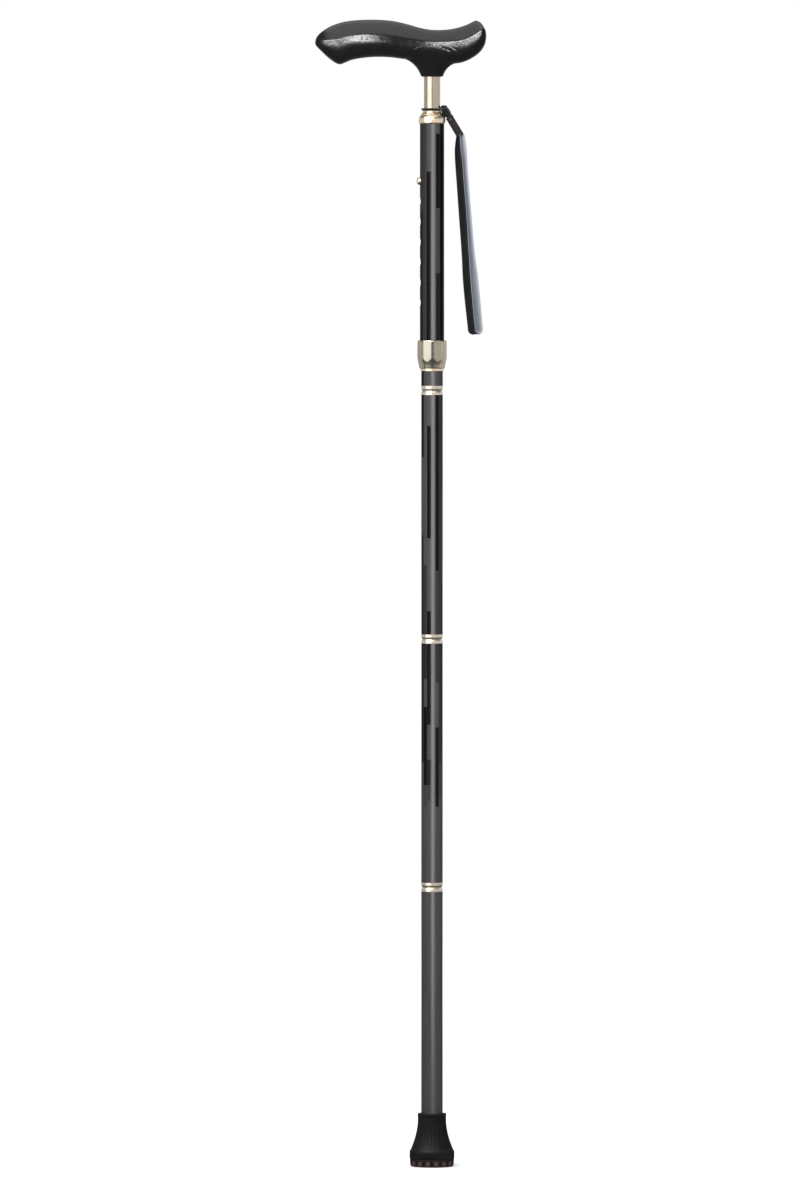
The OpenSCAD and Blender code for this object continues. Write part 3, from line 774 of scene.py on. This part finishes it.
def make_ferrule():
    """The cap on the upper tube: a turned bulb with a waisted ring on it."""
    low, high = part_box("top_ferrule")
    stretch = (high.z - low.z) / FERRULE_RING[-1][1]
    bulb = spline(FERRULE_BULB)(np.linspace(0, 1, 46))
    curve = np.vstack([bulb, spline(FERRULE_RING)(np.linspace(0, 1, 60))])
    outside = [(r * MM, low.z + h * stretch) for r, h in curve]
    bore = [(NECK_R * MM, high.z), (NECK_R * MM, low.z)]
    ferrule = join_skins("top_ferrule_cap", [(turned(outside + bore, 160), True)])
    return finish_piece(ferrule, "upper_shaft", "rose_gold_metal", [FINISHES["warm"]], "top_ferrule")


NUT_FLATS = 8
NUT_FLAT_AT = 0.54  # share of one flat's turn at which the first flat faces, as on the CAD nut
NUT_FLAT_R = 10.49
FLAT_FOOT = 2.5  # height at which the flats' points end
FLAT_UPRIGHT = 8.0  # height above which the flats are upright
FLAT_CURVE = 0.0225
POINTS_PER_FLAT = 48
# Outside of the nut, as (radius, height above its bottom).
NUT_CONE = [(9.0, 0.05), (9.2, 0.0), (9.42, 0.3), (9.55, 0.9), (9.75, 2.2), (10.0, 3.6), (10.35, 5.2),
            (10.68, 6.6), (10.83, 7.6), (10.85, 8.4)]
# Its rim and its bore, as (radius, depth below its top).
NUT_TOP = [(10.85, 1.5), (10.85, 1.15), (10.8, 0.85), (10.45, 0.22), (10.32, 0.04), (10.15, 0.0), (9.86, 0.0)]
NUT_BORE = [(9.86, 13.9), (9.5, 14.6), (8.86, 19.7), (8.74, 20.2)]


def flattened(radius, height, angle):
    """The nut's radius where its flats cut into it. They lean inwards below the upright part."""
    if height < FLAT_FOOT:
        return radius
    share = (angle / (2 * math.pi) * NUT_FLATS - NUT_FLAT_AT) % 1.0
    aside = (share - round(share)) * 2 * math.pi / NUT_FLATS
    reach = NUT_FLAT_R - FLAT_CURVE * max(0.0, FLAT_UPRIGHT - height) ** 2
    return min(radius, reach / math.cos(aside))


def make_nut():
    """The lock nut: eight flats that run out in points down the cone, and bright turned rims."""
    low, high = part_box("lock_nut")
    tall = (high.z - low.z) / MM
    profile = [tuple(p) for p in spline(NUT_CONE)(np.linspace(0, 1, 40))]
    radius, foot = NUT_CONE[-1]
    profile += [(radius, foot + (tall - 1.9 - foot) * i / 12) for i in range(1, 13)]
    profile += [(r, tall - depth) for r, depth in NUT_TOP + NUT_BORE]
    rings = [[(x * MM, y * MM, low.z + z * MM) for x, y, z in ring]
             for ring in turned(profile, NUT_FLATS * POINTS_PER_FLAT, flattened)]
    nut = join_skins("lock_nut_body", [(rings, True)])
    return finish_piece(nut, "nut", "gold_metal", [FINISHES["nut"]], "lock_nut")


# ---- wrist strap
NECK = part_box("strap_loop")
LOOP_CENTRE = (NECK[0] + NECK[1]) / 2
LOOP_CORD_R = (NECK[1].z - NECK[0].z) / 2
LOOP_R = (NECK[1].x - NECK[0].x) / 2 - LOOP_CORD_R
KNOT_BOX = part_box("strap_knot")
KNOT = (KNOT_BOX[0] + KNOT_BOX[1]) / 2
KNOT_R = (KNOT_BOX[1].x - KNOT_BOX[0].x) / 2
SLEEVE_LEAN = math.radians(31)
SLEEVE_DOWN = Vector((math.sin(SLEEVE_LEAN), 0, -math.cos(SLEEVE_LEAN)))
SLEEVE_ACROSS = Vector((math.cos(SLEEVE_LEAN), 0, math.sin(SLEEVE_LEAN)))
SLEEVE_START = KNOT_R + 0.3 * MM
SLEEVE_LEN = 16.4 * MM
SLEEVE_END = KNOT + SLEEVE_DOWN * (SLEEVE_START + SLEEVE_LEN)
BAND_LEAN = math.radians(-4)
BAND_TURN = math.radians(-58)
BAND_DROP = 147
BAND_WIDTH = 10
BAND_THICK = 0.9
BAND_START = -1
# Gap between the band's two runs, and how far they hang aside of the straight line, down from the sleeve.
BAND_GAP = [(-1, 3.2), (0, 3.3), (12, 3.8), (25, 3.8), (57, 3.8), (88, 4.8), (105, 6.2), (125, 6.5),
            (147, 6.3)]
BAND_DRIFT = [(-1, 0), (12, -0.5), (25, -0.8), (57, -0.6), (88, -0.3), (120, 0.4), (147, 1.2)]


PLIES = 3
KNOT_WRAPS = 4.4
KNOT_HIGH, KNOT_LOW = -4.0, 3.3  # the coil's ends, in millimetres down from the knot's middle


def corded(radius, plies, twists):
    """Radius of a twisted cord round its middle: one bulge for each ply."""
    def at(share, angle):
        wave = abs(math.cos(plies / 2 * (angle + 2 * math.pi * twists * share)))
        return radius * (0.84 + 0.16 * wave)
    return at


def loop_rings():
    """The loop round the neck, which meets the knot on its right."""
    turns = np.radians(np.arange(45, 316, 15))
    ring = [(LOOP_R / MM * math.cos(a), LOOP_R / MM * math.sin(a), 0) for a in turns]
    ring += [(7.4, -2.7, 0.1), (9, -1, 0.0), (9.9, 0, -0.5), (9, 1, 0.0), (7.4, 2.7, 0.1)]
    fine = spline(ring, closed=True)(np.arange(200) / 200) * MM
    return sweep([LOOP_CENTRE + Vector(p) for p in fine], corded(LOOP_CORD_R, PLIES, 9), 18, True)


def knot_coil():
    """The cord's path where it is wrapped round its own tails."""
    coil = []
    for i in range(240):
        share = i / 239
        swell = 1.45 + 0.85 * math.sin(math.pi * min(max(share * 1.06 - 0.03, 0), 1)) ** 0.5
        turn = 2 * math.pi * KNOT_WRAPS * share
        round_axis = SLEEVE_ACROSS * math.cos(turn) + Vector((0, math.sin(turn), 0))
        down = SLEEVE_DOWN * (KNOT_HIGH + (KNOT_LOW - KNOT_HIGH) * share)
        coil.append(KNOT + (down + round_axis * swell) * MM)
    return coil


def closed_path(centre, points, count):
    """A closed curve through points given in millimetres from its centre."""
    return spline([centre + Vector(p) * MM for p in points], closed=True)(np.arange(count) / count)


def tail_path(side):
    """One tail of the cord, from inside the knot down into the sleeve."""
    line = [KNOT + SLEEVE_DOWN * down * MM + Vector((0, side * aside * MM, 0))
            for down, aside in [(-3, 0.7), (0, 0.9), (3, 1.0), (5, 0.95), (7.5, 0.95)]]
    return spline(line)(np.linspace(0, 1, 40))


def make_strap_cords():
    """The cord: a loop round the neck, a wrapped knot, and two tails that go down into the sleeve."""
    finish = thread_finish("strap_cord_finish", rgb(7, 7, 8), rgb(24, 25, 27))
    loop = join_skins("wrist_loop_cord", [(loop_rings(), True)])
    finish_piece(loop, "strap_collar", "strap_cord", [finish], "strap_loop")
    cap = KNOT + SLEEVE_DOWN * (KNOT_HIGH - 0.2) * MM
    bight = closed_path(cap, [(-1.6, -1.4, 0.1), (-0.2, -1.9, 0.9), (1.5, -0.6, 0.8), (1.4, 0.9, 0.8),
                              (-0.2, 1.9, 0.9), (-1.6, 1.2, 0.1), (-0.8, 0, -1.6)], 90)
    tuck = closed_path(KNOT, [(-2.2, 0, 0.8), (-2.2, 0.9, -1), (-1.5, 0.8, -2.5), (-1.1, 0, -2.9),
                              (-1.5, -0.8, -2.5), (-2.2, -0.9, -1)], 60)
    turns = [(sweep(knot_coil(), corded(LOOP_CORD_R, PLIES, 26), 18), False)]
    turns += [(sweep(path, corded(LOOP_CORD_R, PLIES, 6), 18, True), True) for path in (bight, tuck)]
    knot = join_skins("wrist_loop_knot", turns)
    finish_piece(knot, "strap_collar", "strap_cord", [finish], "strap_knot")
    ends = [(sweep(tail_path(side), corded(LOOP_CORD_R, PLIES, 3), 16), False) for side in (-1, 1)]
    tails = join_skins("wrist_loop_tails", ends)
    tails.data.materials.append(finish)
    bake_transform(tails)


SLEEVE_HALF_WIDE, SLEEVE_HALF_THICK = 2.9, 2.2
SLEEVE_SQUARE = 2 / 3.6  # 1 makes the section an oval, and less makes it squarer
# Down the sleeve, over its mouth and back inside, as (depth, share of the full section).
SLEEVE_LEVELS = [(0, 0.72), (0.12, 0.9), (0.45, 1.0), (1.3, 1.0), (1.6, 0.955), (2.2, 0.94), (7, 0.95),
                 (12, 0.965), (14.9, 0.96), (15.4, 0.975), (15.8, 1.0), (16.6, 1.0), (16.9, 0.96),
                 (17.0, 0.86), (16.8, 0.84), (15.6, 0.8), (15.4, 0.4)]
SLEEVE_LEVELS_END = 17  # the depth that stands for the sleeve's whole length


def make_sleeve():
    """The leather sleeve: a rounded, folded tube whose mouth is open where the band comes out."""
    outline = []
    for j in range(56):
        angle = 2 * math.pi * (j + 0.5) / 56
        c, s = math.cos(angle), math.sin(angle)
        outline.append((SLEEVE_HALF_WIDE * math.copysign(abs(c) ** SLEEVE_SQUARE, c),
                        SLEEVE_HALF_THICK * math.copysign(abs(s) ** SLEEVE_SQUARE, s)))
    rings = []
    for depth, share in SLEEVE_LEVELS:
        centre = KNOT + SLEEVE_DOWN * (SLEEVE_START + depth / SLEEVE_LEVELS_END * SLEEVE_LEN)
        rings.append([centre + SLEEVE_ACROSS * (a * share * MM) + Vector((0, b * share * MM, 0))
                      for a, b in outline])
    sleeve = join_skins("strap_sleeve_leather", [(rings, False)])
    rounder = sleeve.modifiers.new("rounder", "SUBSURF")
    rounder.levels = rounder.render_levels = 2
    baked(sleeve)
    places, normals = places_and_normals(sleeve)
    rough = np.array([noise.noise(Vector(p) * 700) for p in places])
    places = places + normals * (rough * 0.05 * MM)[:, None]
    seam = KNOT + SLEEVE_DOWN * (SLEEVE_START + SLEEVE_LEN / 2) + Vector((0, 2.15 * MM, 0))
    places = crease(places, normals, seam / MM, SLEEVE_DOWN, 30, 0.35, 0.35)
    move_vertices(sleeve, places)
    finish_piece(sleeve, "strap", "strap_leather", [strap_leather_finish()], "strap_sleeve")


RIVET_R = 0.8
RIVET_RISE = 0.35


def make_rivet():
    """A domed rivet through the sleeve, with a head on each face."""
    face = SLEEVE_HALF_THICK * 0.95
    centre = KNOT + SLEEVE_DOWN * (SLEEVE_START + 3 * MM)
    dome = [(RIVET_R * math.cos(a), face + RIVET_RISE * math.sin(a)) for a in np.linspace(0, math.pi / 2, 9)]
    profile = [(RIVET_R - 0.05, face - 0.3), (RIVET_R, face - 0.1)] + dome[:-1] + [(0.05, face + RIVET_RISE)]
    angles = [2 * math.pi * j / 32 for j in range(32)]
    heads = []
    for side in (-1, 1):
        rings = []
        for radius, out in profile:
            flats = [SLEEVE_ACROSS * math.cos(a) + SLEEVE_DOWN * math.sin(a) for a in angles]
            rings.append([centre + flat * (radius * MM) + Vector((0, side * out * MM, 0)) for flat in flats])
        heads.append((rings, False))
    rivet = join_skins("strap_rivet_heads", heads)
    dull = polished_metal("rivet_metal", rgb(134, 130, 124), rgb(104, 100, 94), 0.42)
    finish_piece(rivet, "strap", "steel", [dull], "strap_rivet")


def band_frame(point):
    """A point given as (across the band, across the gap, down the band) in millimetres, in the row frame."""
    spot = Matrix.Rotation(BAND_TURN, 3, "Z") @ Vector((point[0], point[1], -point[2]))
    spot.x += along(BAND_DRIFT, min(max(point[2], BAND_START), BAND_DROP))
    return SLEEVE_END + Matrix.Rotation(BAND_LEAN, 3, "Y") @ (spot * MM)


def band_line():
    """The band's middle line from one top end to the other: (across the gap, down) and the way out."""
    fold = along(BAND_GAP, BAND_DROP) / 2
    straight = [BAND_START + (BAND_DROP - fold - BAND_START) * i / 90 for i in range(91)]
    line = [((-along(BAND_GAP, s) / 2, s), (-1.0, 0.0)) for s in straight]
    for i in range(1, 16):
        a = math.pi * i / 16
        out = (-math.cos(a), math.sin(a))
        line.append(((fold * out[0], BAND_DROP - fold + fold * out[1]), out))
    line += [((along(BAND_GAP, s) / 2, s), (1.0, 0.0)) for s in reversed(straight)]
    return line


def band_width_at(s):
    """Width of the band, which is gathered where the sleeve holds it."""
    t = min(max((s + 1) / 24, 0), 1)
    return 4 + (BAND_WIDTH - 4) * math.sin(t * math.pi / 2)


def sway(s, v):
    """A slight waviness, at a depth down the band and a share of its half width."""
    return 0.1 * math.sin(s / 9 + 1.7 * v)


def make_band():
    """The band: one sheet of ribbon that hangs in a loop, black outside and grey inside."""
    across = 20
    rings = []
    for (gap, s), (out_g, out_s) in band_line():
        width = band_width_at(s)
        gathered = 0.8 * math.exp(-((s - 9) / 8) ** 2) if s > 0 else 0.0
        ring = []
        there = range(across + 1)
        for layer, order in [(0.5, there), (0.15, [across]), (-0.5, reversed(there)), (0.15, [0])]:
            for j in order:
                v = 2 * j / across - 1
                off = layer * BAND_THICK * (1 - 0.35 * max(0, abs(v) - 0.92) / 0.08)
                cup = gathered * out_g * (v * v - 0.4)
                aside = gap + out_g * off + cup + sway(s, v)
                ring.append(band_frame((v * width / 2, aside, s + out_s * off)))
        rings.append(ring)
    band = join_skins("strap_ribbon", [(rings, False)])
    count = 2 * (across + 1) + 2
    inner = np.zeros(len(band.data.polygons), np.int32)
    for face in band.data.polygons:
        places = sorted(v % count for v in face.vertices)
        if len(face.vertices) == 4 and places[0] > across:
            inner[face.index] = 1
    band.data.polygons.foreach_set("material_index", inner)
    outside = ribbon_finish("ribbon_outside", rgb(4, 5, 7), rgb(11, 13, 15), 0.5)
    lining = ribbon_finish("ribbon_lining", rgb(152, 158, 167), rgb(170, 175, 183), 0.62)
    finish_piece(band, "strap", "strap_band", [outside, lining], "strap_band")
    line = band_line()
    return band, sum((Vector(a[0]) - Vector(b[0])).length for a, b in zip(line, line[1:])) * MM


STITCH_LONG = 2.1
STITCH_PITCH = 3.0
STITCH_R = 0.14
STITCH_AT = 0.8  # share of the band's half width
STITCHES_FROM = 14.0  # how far from the band's ends the rows start


def make_band_stitches():
    """Two rows of stitches near the band's edges, on its outer face."""
    finish = thread_finish("ribbon_thread_finish", rgb(16, 17, 20), rgb(52, 55, 60))
    line = band_line()
    run = [0.0]
    for (a, _), (b, _) in zip(line, line[1:]):
        run.append(run[-1] + math.dist(a, b))
    threads = []
    for side in (-1, 1):
        place = STITCHES_FROM
        while place < run[-1] - STITCHES_FROM:
            spots = []
            for part in range(5):
                at = place + STITCH_LONG * part / 4
                gap, s, out_g, out_s = (float(np.interp(at, run, [p[pair][k] for p in line]))
                                        for pair in (0, 1) for k in (0, 1))
                lift = BAND_THICK / 2 + 0.12 * math.sin(math.pi * part / 4) - 0.03
                v = side * STITCH_AT
                aside = gap + out_g * lift + sway(s, v)
                spots.append(band_frame((v * band_width_at(s) / 2, aside, s + out_s * lift)))
            threads.append((sweep(spots, STITCH_R * MM, 6), False))
            place += STITCH_PITCH
    stitches = join_skins("strap_ribbon_stitches", threads)
    return finish_piece(stitches, "strap", "strap_band", [finish])


# ---- tip
TIP_LOW, TIP_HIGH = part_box("rubber_tip")
BASE_R = TIP_HIGH.x / MM
TIP_TOP = TIP_HIGH.z / MM
TREAD_TOP = TIP_LOW.z / MM
MOUTH_R = 10.5
SKIRT_TOP = 11.4
TEETH = 16
TEETH_FROM = 13.7  # radius outside which the tread is cut into teeth
TEETH_TOP = 4.4
RIBS = 24


# The bead, as (distance outside the mouth's radius, depth below the top), and the mouth, as (radius, depth).
BEAD = [(0, 3.4), (-0.1, 3.2), (-0.1, 2.9), (0.04, 2.7), (0.1, 0.3), (0.02, 0.08), (-0.2, 0)]
MOUTH = [(9.2, 0.1), (8.5, 0.1), (8.15, 0.3), (8.03, 1), (8.03, 6)]


def make_tip():
    """The rubber body, with a bead round its mouth and shallow ribs down its flare."""
    flare = []
    for i in range(25):
        t = i / 24
        radius = MOUTH_R + (BASE_R - 0.9 - MOUTH_R) * (1 - t) ** 1.9
        flare.append((radius, SKIRT_TOP + 1.3 + (TIP_TOP - 4.2 - SKIRT_TOP - 1.3) * t))
    profile = [(15.4, TREAD_TOP), (BASE_R - 0.25, TREAD_TOP), (BASE_R, TREAD_TOP + 0.3),
               (BASE_R, SKIRT_TOP - 0.4), (BASE_R - 0.15, SKIRT_TOP), (BASE_R - 0.45, SKIRT_TOP + 0.5)]
    profile += flare + [(MOUTH_R + out, TIP_TOP - depth) for out, depth in BEAD]
    profile += [(radius, TIP_TOP - depth) for radius, depth in MOUTH]

    def ribbed(radius, height, angle):
        """Presses the grooves between the ribs into the middle of the flare."""
        t = min(max((height - 13.5) / 3, 0), 1) * min(max((TIP_TOP - 5 - height) / 3, 0), 1)
        groove = max(0.0, math.cos(RIBS * angle)) ** 3
        return radius - 0.3 * t * groove

    rings = [[Vector(p) * MM for p in ring] for ring in turned(profile, RIBS * 12, ribbed)]
    tip = join_skins("rubber_tip_body", [(rings, False)])
    return finish_piece(tip, "section_4", "tip_rubber", [rubber_finish()], "rubber_tip")


def make_tread():
    """The brown tread: a toothed rim, and round and straight grooves in the ground face."""
    rim = BASE_R - 0.2
    grooves = [(7.0, 0.8), (11.4, 0.8)]
    face = [(0.05, 0.0)]
    for middle, half in grooves:
        face += [(middle - half - 0.12, 0.0), (middle - half, 0.12), (middle - half + 0.06, 1.1),
                 (middle, 1.2), (middle + half - 0.06, 1.1), (middle + half, 0.12),
                 (middle + half + 0.12, 0.0)]
    face += [(13.6, 0.0), (rim - 1.3, 0.0), (rim - 1.05, 0.12), (rim - 0.2, 1.0), (rim, 1.3), (rim, 2.6),
             (rim, 3.9), (rim, 4.1), (rim, TEETH_TOP), (rim, 4.9), (rim - 0.1, 5.3), (rim - 0.35, TREAD_TOP)]

    def toothed(radius, height, angle):
        """Cuts the notches between the teeth, which fade out towards their top."""
        if radius < TEETH_FROM or height >= TEETH_TOP:
            return radius
        wave = math.cos(TEETH * angle)
        notch = min(max((wave - 0.5) / 0.22, 0), 1)
        crown = 0.16 * math.sin(TEETH * angle / 2) ** 2 - 0.16
        return radius + crown - 0.95 * notch * min(max((TEETH_TOP - height) / 0.3, 0), 1)

    rings = [[Vector(p) * MM for p in ring] for ring in turned(face, TEETH * 18, toothed)]
    tread = join_skins("tip_tread_rubber", [(rings, False)])
    return finish_piece(tread, "section_4", "tread_rubber", [tread_finish()], "tip_tread")


# ---- elastic cord and button spring
CORD_R = 2.0 * MM
CORD_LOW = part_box("elastic_cord")[0].z
CORD_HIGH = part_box("elastic_cord")[1].z
KNOT_ROOM = 4.7 * MM  # how far from its ends the cord runs straight, beyond its knots
SEAMS = [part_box(f"socket_{k}")[0].z for k in (1, 2, 3)]


def make_elastic_cord():
    """The cord in one piece for each folding joint. The real elastic stretches as the joint pulls apart;
    these pieces are fixed.
    """
    finish = braid_finish("elastic_finish", rgb(12, 12, 13), rgb(44, 44, 46))
    mids = [(a + b) / 2 for a, b in zip(SEAMS, SEAMS[1:])]
    ends = [CORD_HIGH - KNOT_ROOM] + mids + [CORD_LOW + KNOT_ROOM]
    for k, seam in enumerate(SEAMS):
        high, low = ends[k], ends[k + 1]
        steps = round((high - low) / (2.5 * MM))
        path = [(0, 0, high + (low - high) * i / steps) for i in range(steps + 1)]
        skins = [(sweep(path, CORD_R, 24), False)]
        for end, inside in ((CORD_HIGH, k == 0), (CORD_LOW, k == 2)):
            if inside:
                skins.append((knot_rings(end, 1 if end == CORD_LOW else -1), True))
        cord = join_skins(f"elastic_cord_{k + 1}", skins)
        cord.data.materials.append(finish)
        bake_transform(cord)
        if k == 0:
            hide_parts("elastic_cord")


def knot_rings(end, up):
    """An overhand knot that fills the pocket at one end of the cord."""
    path = []
    for i in range(96):
        t = 2 * math.pi * i / 96
        across = (math.sin(t) + 2 * math.sin(2 * t), math.cos(t) - 2 * math.cos(2 * t))
        spot = Vector((*across, -1.1 * math.sin(3 * t)))
        path.append(Vector((0, 0, end + up * 2.4 * MM)) + spot * 0.82 * MM)
    return sweep(path, 1.25 * MM, 14, True)


def make_button_spring():
    """The strip that is bent into a U: one leg carries the button, and on the real stick moves in with it;
    here the strip is fixed.
    """
    low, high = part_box("button_spring")
    bend_r = (high.x - low.x) / 2
    middle = (high.x + low.x) / 2
    foot = low.z + bend_r
    thick, wide, soft = 0.5 * MM, high.y, 0.12 * MM
    line = [(low.x + thick / 2, foot + (high.z - foot) * (1 - i / 10)) for i in range(11)]
    for i in range(1, 20):
        a = math.pi + math.pi * i / 20
        r = bend_r - thick / 2
        line.append((middle + r * math.cos(a), foot + r * math.sin(a)))
    line += [(high.x - thick / 2, foot + (high.z - foot) * i / 10) for i in range(11)]
    rings = []
    for i, (x, z) in enumerate(line):
        before, after = line[max(i - 1, 0)], line[min(i + 1, len(line) - 1)]
        dx, dz = after[0] - before[0], after[1] - before[1]
        size = math.hypot(dx, dz)
        nx, nz = dz / size * thick / 2, -dx / size * thick / 2
        rings.append([(x + nx * a, b, z + nz * a) for a, b in
                      [(1, wide - soft), (0.5, wide), (-0.5, wide), (-1, wide - soft),
                       (-1, soft - wide), (-0.5, -wide), (0.5, -wide), (1, soft - wide)]])
    spring = join_skins("button_leaf_spring", [(rings, False)])
    spring.data.materials.append(brushed_steel())
    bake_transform(spring)
    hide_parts("button_spring")


# ---- finishes of the CAD nodes
def dress(material, *names):
    """Gives CAD nodes a finish, in every slot that they have."""
    for name in names:
        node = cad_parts[name]
        if not node.data.materials:
            node.data.materials.append(material)
        for slot in node.material_slots:
            slot.material = material


FINISHES = {
    "champagne": polished_metal("champagne_gold", rgb(192, 181, 164), rgb(181, 170, 152), 0.13),
    "nut": polished_metal("nut_gold", rgb(187, 178, 162), rgb(172, 164, 147), 0.2),
    "warm": polished_metal("warm_gold", rgb(243, 224, 196), rgb(232, 212, 184), 0.26),
    "joint": polished_metal("joint_gold", rgb(226, 217, 200), rgb(214, 204, 186), 0.33, tooled=True),
}
THIRD_BARS_FROM = 270  # the bars of tube_3 fade out above its foot, towards the plain tube_4
METALS = ["neck_post", "threaded_sleeve", "snap_button", "lock_collet", "socket_1", "socket_2", "socket_3",
          "spigot_2", "spigot_3", "spigot_4"]
TUBES = ["upper_tube", "inner_tube", "tube_2", "tube_3", "tube_4"]


def dress_nodes():
    dress(FINISHES["champagne"], "neck_post", "threaded_sleeve")
    dress(FINISHES["warm"], "snap_button", "lock_collet")
    dress(FINISHES["joint"], "socket_1", "socket_2", "socket_3", "spigot_2", "spigot_3", "spigot_4")
    dress(brushed_steel(), "neck_pin", "tip_washer")
    dress(moulded_nylon(), "neck_bush", "inner_bush", "cord_anchor_top", "cord_anchor_bottom")
    for name, bars, seed in [("upper_tube", UPPER_BARS, 3), ("inner_tube", SLIDING_BARS, 8),
                             ("tube_2", SECOND_BARS, 5), ("tube_3", THIRD_BARS, 11)]:
        low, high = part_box(name)
        bottom = max(low.z / MM, THIRD_BARS_FROM) if name == "tube_3" else low.z / MM
        dress(tube_finish(name + "_finish", bars + hidden_bars(seed, bottom, high.z / MM)), name)
    dress(tube_finish("plain_tube_finish", []), "tube_4")


make_camera()
make_world()
make_floor()
dress_nodes()
ferrule = make_ferrule()
nut = make_nut()
metals = [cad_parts[name] for name in METALS] + [ferrule]
make_lights(metals, nut, [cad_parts[name] for name in TUBES])
make_grip_core()
make_grip()
make_strap_cords()
make_sleeve()
make_rivet()
ribbon, ribbon_length = make_band()
stitches = make_band_stitches()
make_tip()
make_tread()
make_elastic_cord()
make_button_spring()
bpy.context.scene.view_settings.view_transform = "Standard"
